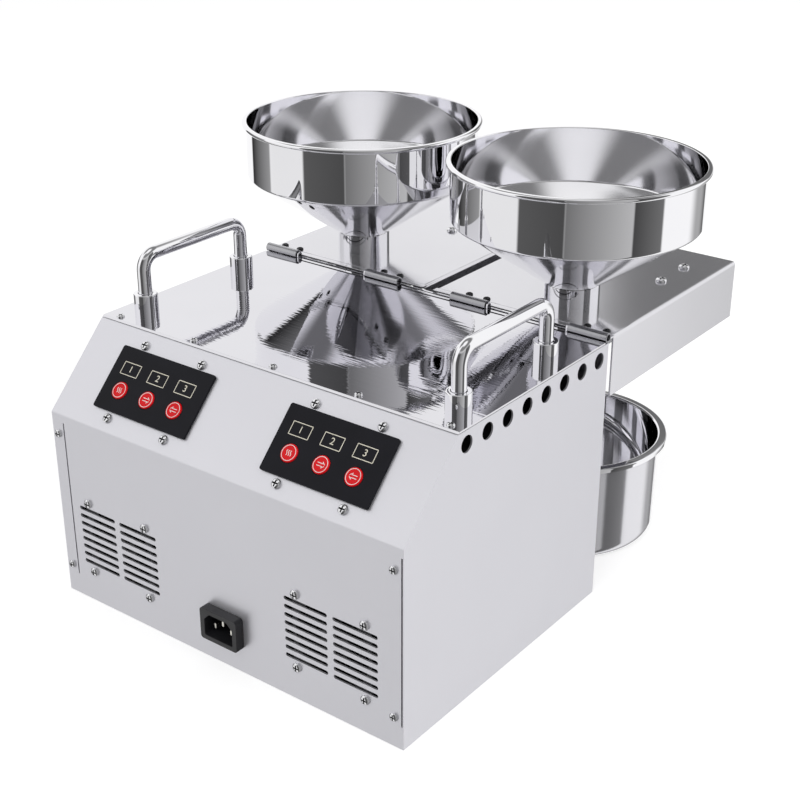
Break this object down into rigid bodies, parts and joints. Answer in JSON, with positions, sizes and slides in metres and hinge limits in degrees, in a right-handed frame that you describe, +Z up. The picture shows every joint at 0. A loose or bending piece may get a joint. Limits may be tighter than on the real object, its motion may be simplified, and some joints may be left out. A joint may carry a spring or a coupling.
{
  "type": "screw oil press",
  "caption": "Steel-cased oil press: screw-driven pressing heads under hinged covers, hoppers above, pots below, push buttons on a sloping front.",
  "frame": {"origin": "centre of the case's underside, on the surface that the press stands on", "axes": "+Z up, -Y the front with the mains inlet and push buttons, +Y the pressing heads, +X to the right seen from the front"},
  "size_m": [0.361, 0.4125, 0.2927],
  "materials": {
    "satin_steel": "satin stainless sheet",
    "polished_steel": "mirror-polished stainless sheet",
    "chrome": "bright polished stainless steel",
    "cast_metal": "machined and unpainted",
    "dark_steel": "dark heat-proof paint",
    "black_plastic": "smooth black plastic",
    "red_plastic": "glossy red plastic",
    "board_green": "green circuit board",
    "pin_metal": "nickel-plated contact"
  },
  "bodies": {
    "case": {"base_plate": "satin_steel", "back_panel": "satin_steel", "front_panel": "satin_steel", "top_plate": "polished_steel", "inlet_socket": "black_plastic", "inlet_pin_line": "pin_metal", "inlet_pin_earth": "pin_metal", "inlet_pin_neutral": "pin_metal", "hinge_rod": "chrome", "control_board": "board_green", "side_panel_left": "satin_steel", "handle_left": "chrome", "handle_collar_left_front": "chrome", "handle_collar_left_rear": "chrome", "control_panel_left": "black_plastic", "fan_frame_left": "black_plastic", "key_board_left": "board_green", "press_barrel_left": "cast_metal", "gearbox_left": "cast_metal", "heater_band_left": "dark_steel", "choke_nut_left": "dark_steel", "motor_left": "dark_steel", "side_panel_right": "satin_steel", "handle_right": "chrome", "handle_collar_right_front": "chrome", "handle_collar_right_rear": "chrome", "control_panel_right": "black_plastic", "fan_frame_right": "black_plastic", "key_board_right": "board_green", "press_barrel_right": "cast_metal", "gearbox_right": "cast_metal", "heater_band_right": "dark_steel", "choke_nut_right": "dark_steel", "motor_right": "dark_steel"},
    "cover_left": {"cover_left": "polished_steel", "heat_shield_left": "polished_steel", "hinge_knuckle_left_outer": "chrome", "hinge_knuckle_left_inner": "chrome", "hopper_sleeve_left": "chrome"},
    "hopper_left": {"hopper_left": "chrome", "hopper_band_left": "chrome"},
    "oil_pot_left": {"oil_pot_left": "chrome"},
    "press_screw_left": {"press_screw_left": "cast_metal"},
    "fan_rotor_left": {"fan_rotor_left": "black_plastic"},
    "button_left_1": {"button_left_1": "red_plastic"},
    "button_left_2": {"button_left_2": "red_plastic"},
    "button_left_3": {"button_left_3": "red_plastic"},
    "cover_right": {"cover_right": "polished_steel", "heat_shield_right": "polished_steel", "hinge_knuckle_right_outer": "chrome", "hinge_knuckle_right_inner": "chrome", "hopper_sleeve_right": "chrome"},
    "hopper_right": {"hopper_right": "chrome", "hopper_band_right": "chrome"},
    "oil_pot_right": {"oil_pot_right": "chrome"},
    "press_screw_right": {"press_screw_right": "cast_metal"},
    "fan_rotor_right": {"fan_rotor_right": "black_plastic"},
    "button_right_1": {"button_right_1": "red_plastic"},
    "button_right_2": {"button_right_2": "red_plastic"},
    "button_right_3": {"button_right_3": "red_plastic"}
  },
  "joints": [
    {"name": "cover_left_hinge", "type": "hinge", "parent": "case", "child": "cover_left", "pos_m": [-0.092, 0.1095, 0.1941], "axis": [1, 0, 0], "range_deg": [0, 24]},
    {"name": "hopper_left_lift", "type": "slide", "parent": "cover_left", "child": "hopper_left", "axis": [0, 0, 1], "range_m": [0, 0.06]},
    {"name": "oil_pot_left_pull", "type": "slide", "parent": "case", "child": "oil_pot_left", "axis": [0, 1, 0], "range_m": [0, 0.15]},
    {"name": "press_screw_left_spin", "type": "hinge", "parent": "case", "child": "press_screw_left", "pos_m": [-0.092, 0.1103, 0.166], "axis": [0, 1, 0], "continuous": true},
    {"name": "fan_rotor_left_spin", "type": "hinge", "parent": "case", "child": "fan_rotor_left", "pos_m": [-0.0923, -0.1085, 0.0514], "axis": [0, 1, 0], "continuous": true},
    {"name": "button_left_1_press", "type": "slide", "parent": "case", "child": "button_left_1", "axis": [0, 0.7118, -0.7024], "range_m": [0, 0.001], "stiffness_N_per_m": 300, "springref_m": -0.001},
    {"name": "button_left_2_press", "type": "slide", "parent": "case", "child": "button_left_2", "axis": [0, 0.7118, -0.7024], "range_m": [0, 0.001], "stiffness_N_per_m": 300, "springref_m": -0.001},
    {"name": "button_left_3_press", "type": "slide", "parent": "case", "child": "button_left_3", "axis": [0, 0.7118, -0.7024], "range_m": [0, 0.001], "stiffness_N_per_m": 300, "springref_m": -0.001},
    {"name": "cover_right_hinge", "type": "hinge", "parent": "case", "child": "cover_right", "pos_m": [0.092, 0.1095, 0.1941], "axis": [1, 0, 0], "range_deg": [0, 24]},
    {"name": "hopper_right_lift", "type": "slide", "parent": "cover_right", "child": "hopper_right", "axis": [0, 0, 1], "range_m": [0, 0.06]},
    {"name": "oil_pot_right_pull", "type": "slide", "parent": "case", "child": "oil_pot_right", "axis": [0, 1, 0], "range_m": [0, 0.15]},
    {"name": "press_screw_right_spin", "type": "hinge", "parent": "case", "child": "press_screw_right", "pos_m": [0.092, 0.1103, 0.166], "axis": [0, 1, 0], "continuous": true},
    {"name": "fan_rotor_right_spin", "type": "hinge", "parent": "case", "child": "fan_rotor_right", "pos_m": [0.0923, -0.1085, 0.0514], "axis": [0, 1, 0], "continuous": true},
    {"name": "button_right_1_press", "type": "slide", "parent": "case", "child": "button_right_1", "axis": [0, 0.7118, -0.7024], "range_m": [0, 0.001], "stiffness_N_per_m": 300, "springref_m": -0.001},
    {"name": "button_right_2_press", "type": "slide", "parent": "case", "child": "button_right_2", "axis": [0, 0.7118, -0.7024], "range_m": [0, 0.001], "stiffness_N_per_m": 300, "springref_m": -0.001},
    {"name": "button_right_3_press", "type": "slide", "parent": "case", "child": "button_right_3", "axis": [0, 0.7118, -0.7024], "range_m": [0, 0.001], "stiffness_N_per_m": 300, "springref_m": -0.001}
  ]
}
